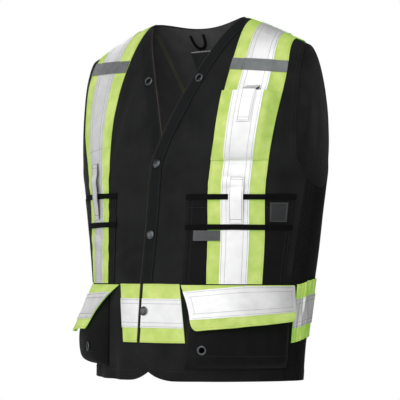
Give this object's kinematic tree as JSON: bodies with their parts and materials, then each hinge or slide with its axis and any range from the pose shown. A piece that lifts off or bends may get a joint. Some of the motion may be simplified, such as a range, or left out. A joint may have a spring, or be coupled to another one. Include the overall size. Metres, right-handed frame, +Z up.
{
  "type": "surveyor safety vest",
  "caption": "Black sleeveless work vest with lime strips, silver tape, crossing back strips, a snap front, a chest pocket and flapped cargo pockets, in its worn shape.",
  "frame": {"origin": "midway between the two shoulders, at the height where the shoulders carry the vest", "axes": "+Z up along the standing wearer, -Y towards the front of the vest, +X towards the wearer's left"},
  "size_m": [0.529, 0.3185, 0.6439],
  "materials": {
    "black_cloth": "matt woven polyester, black",
    "mesh_cloth": "open knitted mesh, black",
    "edge_cloth": "fine twill band, blue black",
    "lime_cloth": "fluorescent woven polyester, lime",
    "silver_tape": "retroreflective glass bead tape",
    "grey_tape": "retroreflective tape, grey",
    "webbing": "ribbed polyester webbing, black",
    "label_cloth": "bare woven label, dark grey",
    "gunmetal": "dark plated snap and eyelet metal"
  },
  "bodies": {
    "root": {"back_panel": "black_cloth", "front_left_panel": "black_cloth", "front_right_panel": "black_cloth", "side_mesh_left": "mesh_cloth", "side_mesh_right": "mesh_cloth", "back_neck_band": "edge_cloth", "front_left_edge_band": "edge_cloth", "front_right_edge_band": "edge_cloth", "front_left_strip": "lime_cloth", "front_right_strip": "lime_cloth", "front_left_strip_tape": "silver_tape", "front_right_strip_tape": "silver_tape", "back_strip_left_shoulder": "lime_cloth", "back_strip_right_shoulder": "lime_cloth", "back_strip_left_shoulder_tape": "silver_tape", "back_strip_right_shoulder_tape": "silver_tape", "shoulder_cross_tape_left": "grey_tape", "shoulder_cross_tape_right": "grey_tape", "waist_band_front_left": "lime_cloth", "waist_band_front_right": "lime_cloth", "waist_band_back": "lime_cloth", "waist_band_front_left_tape": "silver_tape", "waist_band_front_right_tape": "silver_tape", "waist_band_back_tape": "silver_tape", "chest_pocket_left": "lime_cloth", "chest_pocket_tape_left": "silver_tape", "chest_pocket_tab": "silver_tape", "tool_tab_left": "silver_tape", "tool_tab_right": "silver_tape", "patch_pocket_left": "black_cloth", "patch_pocket_right": "black_cloth", "webbing_upper_left": "webbing", "webbing_lower_left": "webbing", "webbing_upper_right": "webbing", "webbing_lower_right": "webbing", "cargo_pocket_left": "black_cloth", "cargo_pocket_right": "black_cloth", "cargo_flap_left": "lime_cloth", "cargo_flap_right": "lime_cloth", "cargo_flap_tape_left": "silver_tape", "cargo_flap_tape_right": "silver_tape", "snap_top": "gunmetal", "snap_middle": "gunmetal", "snap_bottom": "gunmetal", "neck_eyelet_left": "gunmetal", "neck_eyelet_right": "gunmetal", "cargo_eyelet_left": "gunmetal", "cargo_eyelet_right": "gunmetal", "woven_patch": "label_cloth", "tape_tag": "label_cloth", "neck_label": "label_cloth", "hang_loop": "webbing"}
  },
  "joints": []
}
